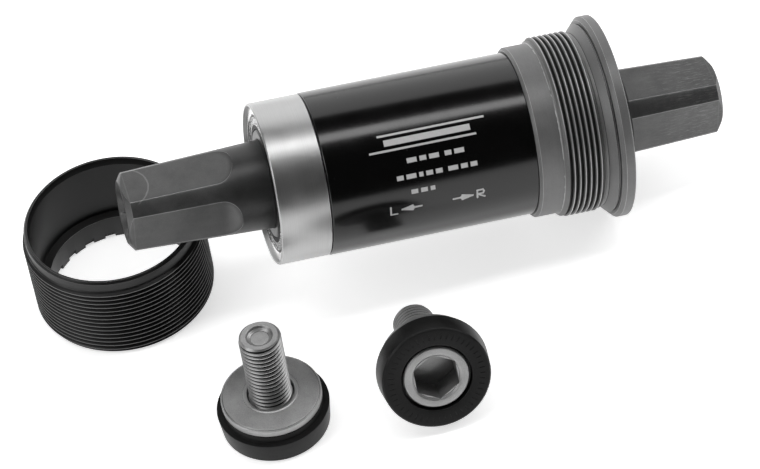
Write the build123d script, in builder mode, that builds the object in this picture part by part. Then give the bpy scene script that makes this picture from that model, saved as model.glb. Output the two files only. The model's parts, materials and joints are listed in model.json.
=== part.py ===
from build123d import *

import os
from math import asin, atan2, cos, degrees, hypot, radians, sin, sqrt, tan

# A square taper cartridge bottom bracket for a 68 mm shell with 1.37 in x 24 TPI threads.
# The cartridge leans with its flange on the ground and its left end over the loose left cup.
# One crank bolt stands on its head and the other lies on its side.
# The frame is in millimetres: +X runs to the drive side, +Y to the back and +Z up from the ground.
# Sizes along the spindle are measured from the flange's seat face, positive to the drive side.

os.makedirs("parts", exist_ok=True)

# Clearances
running_clearance = 0.05
sliding_clearance = 0.08
thread_clearance = 0.05
cage_clearance = 0.1
spin_clearance = 0.12
hidden_gap = 0.3

# Shell that the bracket fits
shell_width = 68.0
shell_thread_radius = 34.8 / 2
thread_depth = 0.65

# Spindle
spindle_overhang = 24.0
body_radius = 8.5
middle_radius = body_radius + 1.1
square_half = body_radius - 2.3
square_taper = 2.0
left_square_length = 17.6
right_square_length = 19.4
run_out_radius = 6.0
run_out_turn = 50.0
corner_radius = body_radius - 1.05
corner_taper = 2.2
end_chamfer = 1.0
end_face_radius = square_half - 0.15
bolt_hole_depth = 22.0

# Bolt thread
bolt_thread_radius = 8.0 / 2
bolt_hole_radius = bolt_thread_radius + thread_clearance
countersink_radius = bolt_thread_radius + 1.2

# Bearings, between the spindle and the cup's wall
cup_wall = 2.4
bearing_bore_radius = body_radius
bearing_outer_radius = shell_thread_radius - cup_wall
bearing_width = 7.0
ball_radius = 3.969 / 2
ball_count = 11
pitch_radius = (bearing_bore_radius + bearing_outer_radius) / 2
groove_radius = ball_radius + running_clearance
shoulder_height = 1.4
inner_shoulder_radius = pitch_radius - shoulder_height
outer_shoulder_radius = pitch_radius + shoulder_height
seal_thickness = 0.6
seal_inset = 0.1
cage_rail = 0.57
cage_front = 1.2

# Tube and sleeve
tube_end_gap = 2.87
tube_radius = bearing_outer_radius + 0.5
tube_sleeve_radius = tube_radius - 0.35
tube_bore_radius = bearing_outer_radius - 1.0
left_bearing_recess = 0.6
bare_length = 9.9
sleeve_radius = tube_sleeve_radius + 0.47
edge_chamfer = 0.25

# Drive side cup
flange_radius = shell_thread_radius + 2.1
flange_thickness = 2.5
flange_front_chamfer = 0.7
flange_back_chamfer = 0.15
flange_edge = flange_thickness - flange_back_chamfer
seat_inner_radius = shell_thread_radius + 0.9
groove_depth = 0.5
neck_radius = shell_thread_radius - thread_depth
flare_start = -1.9
thread_end = -2.75
thread_start = -10.0
collar_end = -15.3
collar_radius = neck_radius - 0.3
collar_chamfer = 0.5
right_bearing_face = -1.2
lip_thickness = 0.6
lip_radius = bearing_outer_radius - 1.1
spline_radius = lip_radius + 0.9
spline_count = 20
spline_width = 2.0

# Dust seal at the drive side
dust_seal_radius = body_radius + 3.1
dust_seal_reach = 2.3
dust_seal_lip = 2.0
dust_seal_chamfer = 0.5

# Left adapter cup
cup_height = 19.2
cup_bore_radius = sleeve_radius + sliding_clearance
cup_mouth_radius = cup_bore_radius + 0.3
cup_mouth_depth = 1.4
cup_band_radius = neck_radius
cup_band_height = 2.9
cup_rim_radius = cup_band_radius - 0.36
cup_rim_chamfer = 0.5
cup_lip_height = 5.2
cup_notch_depth = 1.2
cup_base_chamfer = 0.7

# Crank bolts and their dust rings
socket_across_flats = 8.0
socket_depth = 5.9
head_inset = 0.25
head_radius = socket_across_flats / 2 + 2.05
head_rim_radius = head_radius + 0.2
head_rim_top = head_inset + 0.75
head_chamfer = 0.3
ring_mouth_radius = head_rim_radius + 0.45
ring_mouth_depth = head_rim_top + 0.2
ring_height = 5.9
ring_shoulder = ring_height - 1.2
ring_chamfer = 0.3
bolt_flange_radius = head_radius + 3.4
bolt_flange_bottom = ring_height + cage_clearance
bolt_flange_top = bolt_flange_bottom + 1.65
ring_radius = bolt_flange_radius + 1.15
ring_face_radius = ring_radius - 0.4
ring_collar_radius = ring_radius - 1.1
bolt_boss_top = bolt_flange_top + 0.55
bolt_boss_radius = bolt_thread_radius + 1.0
bolt_groove_radius = bolt_thread_radius + 0.9
bolt_groove_floor_radius = bolt_thread_radius + 0.7
bolt_groove_bottom = bolt_boss_top - 0.8
bolt_length = 23.7
bolt_tip_chamfer = 0.6
dimple_radius = bolt_thread_radius - 1.5
dimple_depth = 0.8

# Places on the ground
flange_x = 43.8
cartridge_y = 11.7
cup_beyond_tip = 2.2
cup_y = cartridge_y + 8.5
upright_bolt_x = -31.0
upright_bolt_y = -23.3
lying_bolt_x = -1.5
lying_bolt_y = -34.2
lying_bolt_turn = 1.7

# Sizes that follow
left_tip = -shell_width - spindle_overhang
right_tip = spindle_overhang
cup_x = flange_x + left_tip - cup_beyond_tip
tube_left = -shell_width + tube_end_gap
left_bearing_face = tube_left + left_bearing_recess
left_bearing_middle = left_bearing_face + bearing_width / 2
right_bearing_middle = right_bearing_face - bearing_width / 2
tube_right = right_bearing_face - bearing_width
sleeve_left = tube_left + bare_length
tube_shoulder = left_bearing_face + bearing_width

# The spindle's corners sweep a circle where they cross the loose cup's rim. The axis keeps clear of that
# rim by the swept radius and stands on the flange's edge, so it touches two circles from above.
rim_cross_x = cup_x + sqrt(cup_rim_radius**2 - (cup_y - cartridge_y) ** 2)
rim_run = flange_x - rim_cross_x
rim_from_tip = -left_tip - rim_run
swept_radius = corner_radius + rim_from_tip * tan(radians(corner_taper))
axis_drop = flange_radius - swept_radius - spin_clearance
lean = degrees(atan2(cup_height, rim_run) - asin(axis_drop / hypot(cup_height, rim_run)))
lean_sin = sin(radians(lean))
lean_cos = cos(radians(lean))
seat_x = flange_x + flange_radius * lean_sin - flange_edge * lean_cos
seat_z = flange_radius * lean_cos + flange_edge * lean_sin

# A turned piece is drawn on a plane whose X runs along its axis and whose Y is the radius.
spindle_plane = Plane(
    origin=(seat_x, cartridge_y, seat_z), x_dir=(lean_cos, 0, -lean_sin), z_dir=(0, -1, 0)
)
cup_plane = Plane(origin=(cup_x, cup_y, 0), x_dir=(0, 0, 1), z_dir=(0, -1, 0))
upright_plane = Plane(
    origin=(upright_bolt_x, upright_bolt_y, 0), x_dir=(0, 0, 1), z_dir=(0, -1, 0)
)

# The lying bolt rests on its ring's shoulder and on the edge of its thread's tip.
tip_edge = bolt_length - bolt_tip_chamfer
lying_tilt = atan2(ring_radius - bolt_thread_radius, tip_edge - ring_shoulder)
lying_height = bolt_thread_radius * cos(lying_tilt) + tip_edge * sin(lying_tilt)
turn = radians(lying_bolt_turn)
lying_plane = Plane(
    origin=(lying_bolt_x, lying_bolt_y, lying_height),
    x_dir=(sin(turn) * cos(lying_tilt), cos(turn) * cos(lying_tilt), -sin(lying_tilt)),
    z_dir=(cos(turn), -sin(turn), 0),
)


def axis_of(plane):
    return Axis(plane.origin, plane.x_dir)


def across(plane, along):
    """A plane square to a turned piece's axis, at a distance along it."""
    return Plane(origin=plane.from_local_coords((along, 0, 0)), x_dir=plane.y_dir, z_dir=plane.x_dir)


def rolled(plane, angle):
    """The same plane, rolled about its own X."""
    z_dir = plane.z_dir * cos(radians(angle)) + plane.y_dir * sin(radians(angle))
    return Plane(origin=plane.origin, x_dir=plane.x_dir, z_dir=z_dir)


def turned(plane, outline, label):
    """A solid turned from an outline of (along, radius) points."""
    with BuildPart() as piece:
        with BuildSketch(plane):
            with BuildLine():
                Polyline(*outline, close=True)
            make_face()
        revolve(axis=axis_of(plane))
    piece.part.label = label
    return piece.part


def spline_notches(plane, start, depth):
    """The notches for a splined tool, as solids to cut from a cup's lip."""
    notch_length = spline_radius - lip_radius + 1.0
    with BuildPart() as notches:
        with BuildSketch(across(plane, start)):
            with PolarLocations(spline_radius - notch_length / 2, spline_count):
                Rectangle(notch_length, spline_width)
        extrude(amount=depth)
    return notches.part


def flat_cutter(tip, inward, length, quarter):
    """A wedge that mills one tapered flat of a square end, with a rounded run-out."""
    flat_end = tip + inward * length
    flat_rise = length * tan(radians(square_taper))
    lead = end_chamfer * tan(radians(square_taper))
    with BuildPart() as cutter:
        with BuildSketch(rolled(spindle_plane, 90 * quarter)):
            with BuildLine():
                start = (tip - inward * end_chamfer, square_half - lead)
                flat = Line(start, (flat_end, square_half + flat_rise))
                run_out = JernArc(flat @ 1, flat % 1, run_out_radius, inward * run_out_turn)
                above = Line(run_out @ 1, (run_out @ 1) + Vector(0, body_radius))
                back = Line(above @ 1, (start[0], (above @ 1).Y))
                Line(back @ 1, flat @ 0)
            make_face()
        extrude(amount=2 * body_radius, both=True)
    return cutter.part


# Spindle: turned blank, four tapered flats at each end with a milled run-out, and two threaded holes.
with BuildPart() as spindle:
    left_corner = left_tip + end_chamfer
    right_corner = right_tip - end_chamfer
    corner_run = (body_radius - corner_radius) / tan(radians(corner_taper))
    with BuildSketch(spindle_plane):
        with BuildLine():
            Polyline(
                (left_tip, 0),
                (left_tip, end_face_radius),
                (left_corner, corner_radius),
                (left_corner + corner_run, body_radius),
                (tube_shoulder, body_radius),
                (tube_shoulder, middle_radius),
                (tube_right, middle_radius),
                (tube_right, body_radius),
                (right_corner - corner_run, body_radius),
                (right_corner, corner_radius),
                (right_tip, end_face_radius),
                (right_tip, 0),
                close=True,
            )
        make_face()
    revolve(axis=axis_of(spindle_plane))
    for tip, inward, length in ((left_tip, 1, left_square_length), (right_tip, -1, right_square_length)):
        for quarter in range(4):
            add(flat_cutter(tip, inward, length, quarter), mode=Mode.SUBTRACT)
    for tip, inward in ((left_tip, 1), (right_tip, -1)):
        countersink_depth = countersink_radius - bolt_hole_radius
        with BuildSketch(spindle_plane):
            with BuildLine():
                Polyline(
                    (tip, 0),
                    (tip, countersink_radius),
                    (tip + inward * countersink_depth, bolt_hole_radius),
                    (tip + inward * bolt_hole_depth, bolt_hole_radius),
                    (tip + inward * (bolt_hole_depth + bolt_hole_radius / 2), 0),
                    close=True,
                )
            make_face()
        revolve(axis=axis_of(spindle_plane), mode=Mode.SUBTRACT)
spindle.part.label = "spindle"

# Tube: a thin turned shell. Its bare left end seats the left bearing and its right end fits in the fixed cup.
cartridge_tube = turned(
    spindle_plane,
    [
        (tube_left, bearing_outer_radius),
        (tube_left, tube_radius - edge_chamfer),
        (tube_left + edge_chamfer, tube_radius),
        (sleeve_left - edge_chamfer, tube_radius),
        (sleeve_left, tube_sleeve_radius),
        (tube_right, tube_sleeve_radius),
        (tube_right, tube_bore_radius),
        (tube_shoulder, tube_bore_radius),
        (tube_shoulder, bearing_outer_radius),
    ],
    "cartridge_tube",
)

# Sleeve: a thin plastic skin over the tube, from the bare end to the fixed cup.
outer_sleeve = turned(
    spindle_plane,
    [
        (sleeve_left, tube_sleeve_radius),
        (sleeve_left, sleeve_radius - edge_chamfer),
        (sleeve_left + edge_chamfer, sleeve_radius),
        (collar_end, sleeve_radius),
        (collar_end, tube_sleeve_radius),
    ],
    "outer_sleeve",
)

# Fixed cup: collar, thread at its major diameter, neck, flare, seat groove, flange and splined recess.
recess_start = right_bearing_face + lip_thickness
with BuildPart() as drive_side_cup:
    with BuildSketch(spindle_plane):
        with BuildLine():
            Polyline(
                (collar_end, tube_sleeve_radius),
                (collar_end, collar_radius - collar_chamfer),
                (collar_end + collar_chamfer, collar_radius),
                (thread_start - thread_depth, collar_radius),
                (thread_start, shell_thread_radius),
                (thread_end, shell_thread_radius),
                (thread_end + thread_depth / 2, neck_radius),
                (flare_start, neck_radius),
                (-groove_depth, seat_inner_radius),
                (0, seat_inner_radius),
                (0, flange_radius - flange_front_chamfer),
                (flange_front_chamfer, flange_radius),
                (flange_edge, flange_radius),
                (flange_thickness, flange_radius - flange_back_chamfer),
                (flange_thickness, lip_radius),
                (right_bearing_face, lip_radius),
                (right_bearing_face, bearing_outer_radius),
                (tube_right, bearing_outer_radius),
                (tube_right, tube_sleeve_radius),
                close=True,
            )
        make_face()
    revolve(axis=axis_of(spindle_plane))
    recess_depth = flange_thickness - recess_start
    add(spline_notches(spindle_plane, recess_start, recess_depth), mode=Mode.SUBTRACT)
drive_side_cup.part.label = "drive_side_cup"

# Dust seal: a ring pressed into the fixed cup's lip, with its sealing lip on the spindle's round part.
seal_end = flange_thickness + dust_seal_reach
seal_lip_radius = body_radius + running_clearance
drive_side_dust_seal = turned(
    spindle_plane,
    [
        (right_bearing_face, seal_lip_radius),
        (right_bearing_face, lip_radius),
        (recess_start, lip_radius),
        (recess_start, dust_seal_radius),
        (seal_end - dust_seal_chamfer, dust_seal_radius),
        (seal_end, dust_seal_radius - dust_seal_chamfer),
        (seal_end, body_radius + hidden_gap),
        (right_bearing_face + dust_seal_lip, body_radius + hidden_gap),
        (right_bearing_face + dust_seal_lip, seal_lip_radius),
    ],
    "drive_side_dust_seal",
)


def bearing_ring(middle, bore, outside, label):
    """One ring of a deep groove bearing, with the ball groove cut at the pitch circle."""
    half = bearing_width / 2
    with BuildPart() as ring:
        with BuildSketch(spindle_plane):
            with Locations((middle, (bore + outside) / 2)):
                Rectangle(bearing_width, outside - bore)
        revolve(axis=axis_of(spindle_plane))
        corners = ring.edges().filter_by(GeomType.CIRCLE)
        chamfer(corners, length=min(edge_chamfer, half / 2))
        with BuildSketch(spindle_plane):
            with Locations((middle, pitch_radius)):
                Circle(groove_radius)
        revolve(axis=axis_of(spindle_plane), mode=Mode.SUBTRACT)
    ring.part.label = label
    return ring.part


def bearing_balls(middle, label):
    """The balls of one bearing, evenly spaced on the pitch circle."""
    with BuildPart() as balls:
        with Locations(across(spindle_plane, middle)):
            with PolarLocations(pitch_radius, ball_count):
                Sphere(ball_radius)
    balls.part.label = label
    return balls.part


def bearing_cage(middle, outward, label):
    """A crown cage: a ring with a rail at the inner side and round pockets that open outward."""
    rail_back = ball_radius + cage_rail
    back = middle - outward * rail_back
    front = middle + outward * cage_front
    with BuildPart() as cage:
        with BuildSketch(spindle_plane):
            with Locations(((back + front) / 2, pitch_radius)):
                Rectangle(rail_back + cage_front, 2 * (shoulder_height - hidden_gap))
        revolve(axis=axis_of(spindle_plane))
        with Locations(across(spindle_plane, middle)):
            with PolarLocations(pitch_radius, ball_count):
                Sphere(ball_radius + cage_clearance, mode=Mode.SUBTRACT)
    cage.part.label = label
    return cage.part


def bearing_seal(face, outward, label):
    """A flat seal held by the outer ring, whose lip runs close to the inner ring."""
    outside = face - outward * seal_inset
    inside = outside - outward * seal_thickness
    return turned(
        spindle_plane,
        [
            (inside, inner_shoulder_radius + running_clearance),
            (inside, outer_shoulder_radius),
            (outside, outer_shoulder_radius),
            (outside, inner_shoulder_radius + running_clearance),
        ],
        label,
    )


bearing_pieces = []
for side, middle, outward in (("left", left_bearing_middle, -1), ("right", right_bearing_middle, 1)):
    name = f"{side}_bearing_"
    half = outward * bearing_width / 2
    bearing_pieces += [
        bearing_ring(middle, bearing_bore_radius, inner_shoulder_radius, name + "inner_ring"),
        bearing_ring(middle, outer_shoulder_radius, bearing_outer_radius, name + "outer_ring"),
        bearing_balls(middle, name + "balls"),
        bearing_cage(middle, outward, name + "cage"),
        bearing_seal(middle + half, outward, name + "outer_seal"),
        bearing_seal(middle - half, -outward, name + "inner_seal"),
    ]

# Left adapter cup: stands on its outboard lip. Its bore slides over the cartridge's left end.
with BuildPart() as left_adapter_cup:
    band_start = cup_height - cup_band_height
    with BuildSketch(cup_plane):
        with BuildLine():
            Polyline(
                (0, lip_radius),
                (0, shell_thread_radius - cup_base_chamfer),
                (cup_base_chamfer, shell_thread_radius),
                (band_start, shell_thread_radius),
                (band_start + thread_depth, cup_band_radius),
                (cup_height - cup_rim_chamfer, cup_band_radius),
                (cup_height, cup_rim_radius),
                (cup_height, cup_mouth_radius),
                (cup_height - cup_mouth_depth, cup_bore_radius),
                (cup_lip_height, cup_bore_radius),
                (cup_lip_height, lip_radius),
                close=True,
            )
        make_face()
    revolve(axis=axis_of(cup_plane))
    add(spline_notches(cup_plane, 0, cup_notch_depth), mode=Mode.SUBTRACT)
left_adapter_cup.part.label = "left_adapter_cup"


def crank_bolt(plane, label):
    """A hex socket bolt with a wide flange, drawn from its head's face to its thread's tip."""
    face = head_inset
    with BuildPart() as bolt:
        with BuildSketch(plane):
            with BuildLine():
                Polyline(
                    (face, 0),
                    (face, head_rim_radius - head_chamfer),
                    (face + head_chamfer, head_rim_radius),
                    (head_rim_top, head_rim_radius),
                    (head_rim_top, head_radius),
                    (bolt_flange_bottom, head_radius),
                    (bolt_flange_bottom, bolt_flange_radius - head_chamfer),
                    (bolt_flange_bottom + head_chamfer, bolt_flange_radius),
                    (bolt_flange_top, bolt_flange_radius),
                    (bolt_boss_top, bolt_boss_radius),
                    (bolt_boss_top, bolt_groove_radius),
                    (bolt_groove_bottom, bolt_groove_floor_radius),
                    (bolt_groove_bottom, bolt_thread_radius),
                    (bolt_length - bolt_tip_chamfer, bolt_thread_radius),
                    (bolt_length, bolt_thread_radius - bolt_tip_chamfer),
                    (bolt_length, dimple_radius),
                    (bolt_length - dimple_depth, dimple_radius - dimple_depth / 2),
                    (bolt_length - dimple_depth, 0),
                    close=True,
                )
            make_face()
        revolve(axis=axis_of(plane))
        with BuildSketch(across(plane, face)):
            RegularPolygon(radius=socket_across_flats / 2, side_count=6, major_radius=False)
        extrude(amount=socket_depth, mode=Mode.SUBTRACT)
    bolt.part.label = label
    return bolt.part


def bolt_dust_ring(plane, label):
    """A plastic ring that turns on the bolt's head, between the head's rim and the bolt's flange."""
    bore = head_radius + running_clearance
    return turned(
        plane,
        [
            (0, ring_mouth_radius),
            (0, ring_face_radius - ring_chamfer),
            (ring_chamfer, ring_face_radius),
            (ring_shoulder, ring_radius),
            (ring_shoulder, ring_collar_radius),
            (ring_height, ring_collar_radius - ring_chamfer),
            (ring_height, bore),
            (ring_mouth_depth, bore),
            (ring_mouth_depth, ring_mouth_radius),
        ],
        label,
    )


pieces = [
    spindle.part,
    cartridge_tube,
    outer_sleeve,
    drive_side_cup.part,
    drive_side_dust_seal,
    left_adapter_cup.part,
    crank_bolt(upright_plane, "crank_bolt_upright"),
    bolt_dust_ring(upright_plane, "upright_bolt_dust_ring"),
    crank_bolt(lying_plane, "crank_bolt_lying"),
    bolt_dust_ring(lying_plane, "lying_bolt_dust_ring"),
]
for piece in pieces + bearing_pieces:
    export_step(piece, f"parts/{piece.label}.step")
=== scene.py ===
# %% [markdown]
# # A square taper bottom bracket
# A bottom bracket carries the cranks of a bicycle. This one is a sealed cartridge: a spindle on two hidden
# ball bearings, inside a steel tube with a black plastic sleeve, with a threaded fixed cup on its drive side.
# Beside it lie the loose left cup and the two crank bolts, each in its black dust ring.
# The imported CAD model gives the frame: every piece made here takes the place of a CAD node or repaints it.

# %% Load the frame
import json
import math

import bmesh
import bpy
from mathutils import Matrix, Vector


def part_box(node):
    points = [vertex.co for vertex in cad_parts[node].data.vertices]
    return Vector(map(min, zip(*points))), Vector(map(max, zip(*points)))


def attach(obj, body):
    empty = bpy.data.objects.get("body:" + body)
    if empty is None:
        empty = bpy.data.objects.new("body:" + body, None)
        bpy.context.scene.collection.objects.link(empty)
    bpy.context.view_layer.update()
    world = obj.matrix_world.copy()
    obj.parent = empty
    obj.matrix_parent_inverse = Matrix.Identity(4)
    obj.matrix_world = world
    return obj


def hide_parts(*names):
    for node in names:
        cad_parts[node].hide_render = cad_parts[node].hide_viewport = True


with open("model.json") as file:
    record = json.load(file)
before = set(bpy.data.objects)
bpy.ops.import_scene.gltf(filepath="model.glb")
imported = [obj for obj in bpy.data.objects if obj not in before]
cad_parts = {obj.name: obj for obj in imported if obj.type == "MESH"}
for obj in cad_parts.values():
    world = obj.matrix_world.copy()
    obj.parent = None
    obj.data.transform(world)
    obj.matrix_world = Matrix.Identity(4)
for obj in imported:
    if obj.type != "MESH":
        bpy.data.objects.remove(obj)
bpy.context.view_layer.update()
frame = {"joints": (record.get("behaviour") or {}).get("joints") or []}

joints = {joint["name"]: joint for joint in frame["joints"]}
MM = 0.001

# %% [markdown]
# ## Homes
# Nearly every piece is turned, so it is drawn in its own home: X runs along the piece's axis, in
# millimetres, and Y and Z are across it. The joints say where each axis is. A home is a matrix that takes
# those millimetres to the place in metres, so the finished object itself stays at the origin.


# %% Find each piece's home
def home_on(origin, along, up):
    """A home at a point in metres, with its X along an axis and its Y as near to up as it can be."""
    x_axis = Vector(along).normalized()
    z_axis = x_axis.cross(Vector(up)).normalized()
    y_axis = z_axis.cross(x_axis)
    home = Matrix((x_axis, y_axis, z_axis)).transposed().to_4x4()
    home.translation = Vector(origin)
    return home @ Matrix.Scale(MM, 4)


UP, LEFTWARDS = (0, 0, 1), (-1, 0, 0)
cup_low, cup_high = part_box("left_adapter_cup")
cup_foot = Vector(((cup_low.x + cup_high.x) / 2, (cup_low.y + cup_high.y) / 2, cup_low.z))
CARTRIDGE_HOME = home_on(joints["spindle_spin"]["pos_m"], joints["spindle_spin"]["axis"], UP)
CUP_HOME = home_on(cup_foot, UP, LEFTWARDS)
UPRIGHT_HOME = home_on(joints["upright_ring_spin"]["pos_m"], UP, LEFTWARDS)
LYING_HOME = home_on(joints["lying_ring_spin"]["pos_m"], joints["lying_ring_spin"]["axis"], UP)
print("cartridge seat at", [round(value / MM, 2) for value in CARTRIDGE_HOME.translation])

# %% [markdown]
# ## Writing node trees as sums
# Shaders and Geometry Nodes both need arithmetic. A small class wraps a socket and overloads the operators,
# so 1 - mask adds its Math node by itself. A board wraps a tree, and its one method adds any other node.


# %% The helpers that write node trees
class Wire:
    """A socket of a node tree that can stand in a sum."""

    def __init__(self, board, socket):
        self.board, self.socket = board, socket

    def maths(self, operation, *values):
        return self.board.node("ShaderNodeMath", {"operation": operation}, values)

    def __add__(self, other):
        return self.maths("ADD", self, other)

    def __sub__(self, other):
        return self.maths("SUBTRACT", self, other)

    def __rsub__(self, other):
        return self.maths("SUBTRACT", other, self)

    def __mul__(self, other):
        return self.maths("MULTIPLY", self, other)

    def __truediv__(self, other):
        return self.maths("DIVIDE", self, other)

    def __abs__(self):
        return self.maths("ABSOLUTE", self)

    __radd__, __rmul__ = __add__, __mul__

    def least(self, other):
        return self.maths("MINIMUM", self, other)

    def most(self, other):
        return self.maths("MAXIMUM", self, other)

    def ramp(self, low, high, from_value=0.0, to_value=1.0):
        """A soft step between two of its own values."""
        settings = {"interpolation_type": "SMOOTHSTEP"}
        names = {"Value": self, "From Min": low, "From Max": high, "To Min": from_value, "To Max": to_value}
        return self.board.node("ShaderNodeMapRange", settings, names)


class Board:
    """A node tree, with one method that adds a node to it."""

    def __init__(self, tree):
        self.tree = tree

    def node(self, kind, settings=None, inputs=(), output=0):
        made = self.tree.nodes.new(kind)
        for key, value in (settings or {}).items():
            setattr(made, key, value)
        for key, value in inputs.items() if isinstance(inputs, dict) else enumerate(inputs):
            if isinstance(value, Wire):
                self.tree.links.new(value.socket, made.inputs[key])
            else:
                made.inputs[key].default_value = value
        return Wire(self, made.outputs[output])

    def vector(self, x, y, z):
        return self.node("ShaderNodeCombineXYZ", None, (x, y, z))

    def parts(self, vector):
        node = self.node("ShaderNodeSeparateXYZ", None, (vector,)).socket.node
        return [Wire(self, socket) for socket in node.outputs]

    def noise(self, vector, scale, detail=3.0, roughness=0.55):
        names = {"Vector": vector, "Scale": scale, "Detail": detail, "Roughness": roughness}
        return self.node("ShaderNodeTexNoise", None, names)

    def mixed(self, share, first, second):
        """A colour between two colours."""
        return self.node("ShaderNodeMix", {"data_type": "RGBA"}, {0: share, 6: first, 7: second}, output=2)


print("boards ready")

# %% [markdown]
# ## The finish that every metal and plastic shares
# A real surface is never one flat colour. Each finish here has four layers: a slow mottle, the fine lines that a
# lathe leaves round the axis, proud edges and crests lightened as wear with a painted highlight, and inner corners
# and thread roots darkened as painted shade. The meshes carry two attributes for it: place, a point's home
# coordinates in millimetres, and edge, which is 1 on a proud edge and -1 in a corner or at the root of a thread.


# %% A finish with mottle, turning lines, wear with painted highlights, and painted shade
LINES_PER_MM = 6.0
ARC_MIDDLE, ARC_RADIUS = -92.0, 5.0
SCRATCHES_START, SCRATCHES_FULL = 5.0, 20.0
SCALE_RADIUS = 8.2


def grey(value):
    return (value, value, value, 1.0)


class Finish:
    """A material being made: its board, its shader and the coordinates that its patterns read."""

    def __init__(self, name, **constants):
        self.material = bpy.data.materials.new(name)
        self.material.use_nodes = True
        self.board = Board(self.material.node_tree)
        self.shader = self.material.node_tree.nodes["Principled BSDF"]
        for socket, value in constants.items():
            self.shader.inputs[socket.replace("_", " ")].default_value = value
        place = self.board.node("ShaderNodeAttribute", {"attribute_name": "place"}, output="Vector")
        self.place = place
        self.along, self.across_y, self.across_z = self.board.parts(place)
        squares = self.across_y * self.across_y + self.across_z * self.across_z
        self.radius = squares.maths("SQRT", squares)
        edge = self.board.node("ShaderNodeAttribute", {"attribute_name": "edge"}, output="Fac")
        # proud lightens edges and crests, as wear with a painted highlight; corner darkens inner corners and thread
        # roots, as painted shade.
        self.proud, self.corner = edge.ramp(0.6, 1.0), edge.ramp(-0.7, -0.05, 1.0, 0.0)

    def feed(self, socket, wire):
        self.board.tree.links.new(wire.socket, self.shader.inputs[socket])

    def bumps(self, height, distance):
        names = {"Strength": 1.0, "Distance": distance * MM, "Height": height}
        self.feed("Normal", self.board.node("ShaderNodeBump", None, names))

    def turning_lines(self):
        """Fine lines that run round the axis, a little broken along their length."""
        lines = self.board.vector(self.along * LINES_PER_MM, self.radius * LINES_PER_MM, 0.0)
        drift = self.board.vector(self.along * 0.3, self.across_y * 0.15, self.across_z * 0.15)
        return self.board.noise(lines, 1.0, 4.0, 0.7) * 0.75 + self.board.noise(drift, 1.0) * 0.25


def spindle_marks(finish):
    """What cranks leave on a spindle: an arc on the left end's upper flat, and scratches near the right tip."""
    board = finish.board
    across = abs(finish.across_y).least(abs(finish.across_z))
    from_tip = finish.along - ARC_MIDDLE
    reach = from_tip * from_tip + across * across
    off_arc = reach.maths("SQRT", reach) - ARC_RADIUS - board.noise(finish.place, 0.6) * 0.5
    on_upper_flat = finish.across_y.ramp(5.8, 6.1)
    arc = abs(off_arc).ramp(0.05, 0.22, 0.5, 0.0) * on_upper_flat
    lines = board.vector(finish.along * 0.5, finish.across_y * 4, finish.across_z * 4)
    scratches = board.noise(lines, 1.0, 4.0, 0.7).ramp(0.5, 0.72)
    return arc.most(scratches * finish.along.ramp(SCRATCHES_START, SCRATCHES_FULL) * 0.6)


def forging_scale(finish):
    """The dark scale left on the spindle's round body, where no crank and no mill has touched it."""
    past_left_flats = finish.along.ramp(-76.0, -70.0, 0.0, 0.55)
    before_right_flats = finish.along.ramp(-10.0, 0.0, 1.0, 0.0)
    return past_left_flats * before_right_flats * finish.radius.ramp(SCALE_RADIUS - 0.6, SCALE_RADIUS)


def worked_metal(
    name, base, wear_and_highlight, corner_shade_and_scale, roughness, metallic=1.0, lines=0.3, mottle=0.3, grain=0.1, relief=0.01, tip_marks=False
):
    """A worked metal: base is a grey, and so are the grey of wear and painted highlight on proud edges and the grey
    of painted shade in corners, which the spindle's forging scale shares; lines and mottle are shares of the base.
    """
    finish = Finish(name, Metallic=metallic)
    board = finish.board
    cloud = board.noise(finish.place, 0.22, 5.0, 0.6)
    grit = board.noise(finish.place, 6.0, 3.0, 0.7)
    turned_marks = finish.turning_lines()
    tone = (cloud - 0.5) * mottle + (turned_marks - 0.5) * lines + (grit - 0.5) * grain
    surface = board.mixed((tone + 0.5).ramp(0.0, 1.0), grey(base * 0.45), grey(min(base * 1.55, 1.0)))
    # Proud edges and thread crests are lightened, as wear with a painted highlight; the spindle's crank marks join
    # them.
    bright = (finish.proud * (cloud * 1.2 + 0.35)).least(1.0)
    if tip_marks:
        bright = bright.most(spindle_marks(finish))
        surface = board.mixed(forging_scale(finish), surface, grey(corner_shade_and_scale))
    # Inner corners and thread roots are darkened to the corner grey and roughened: painted shade.
    corner_shade = finish.corner.least(1.0)
    colour = board.mixed(corner_shade, board.mixed(bright, surface, grey(wear_and_highlight)), grey(corner_shade_and_scale))
    finish.feed("Base Color", colour)
    rough = (cloud - 0.5) * 0.16 + (grit - 0.5) * 0.12 + corner_shade * 0.25 - bright * 0.08 + roughness
    finish.feed("Roughness", rough.most(0.05).least(1.0))
    finish.bumps(turned_marks * lines + grit * (grain * 2.0) + cloud * 0.1, relief)
    return finish.material


spindle_steel = worked_metal(
    "spindle_forged_steel", 0.1, 0.26, 0.02, 0.42, metallic=0.7, lines=0.06, mottle=0.5, grain=0.35, relief=0.02,
    tip_marks=True
)
turned_steel = worked_metal(
    "bright_turned_steel", 0.45, 0.62, 0.1, 0.36, lines=0.3, mottle=0.12, grain=0.05, relief=0.006
)
phosphate_steel = worked_metal(
    "grey_phosphate_steel", 0.17, 0.5, 0.012, 0.48, metallic=0.4, lines=0.12, mottle=0.25, grain=0.35, relief=0.012
)
black_cup_coat = worked_metal(
    "black_oxide_cup", 0.009, 0.12, 0.001, 0.4, metallic=0.3, lines=0.3, mottle=0.6, grain=0.2, relief=0.01
)
zinc_steel = worked_metal(
    "zinc_plated_bolt_steel", 0.34, 0.42, 0.012, 0.4, metallic=0.8, lines=0.1, mottle=0.4, grain=0.5, relief=0.015
)
ball_steel = worked_metal(
    "ground_bearing_steel", 0.62, 0.75, 0.2, 0.14, lines=0.08, mottle=0.06, grain=0.02, relief=0.002
)
dark_race_steel = worked_metal(
    "dark_inner_race_steel", 0.03, 0.1, 0.01, 0.35, lines=0.08, mottle=0.3, grain=0.1, relief=0.004
)
print("metal finishes:", 7)

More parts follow.
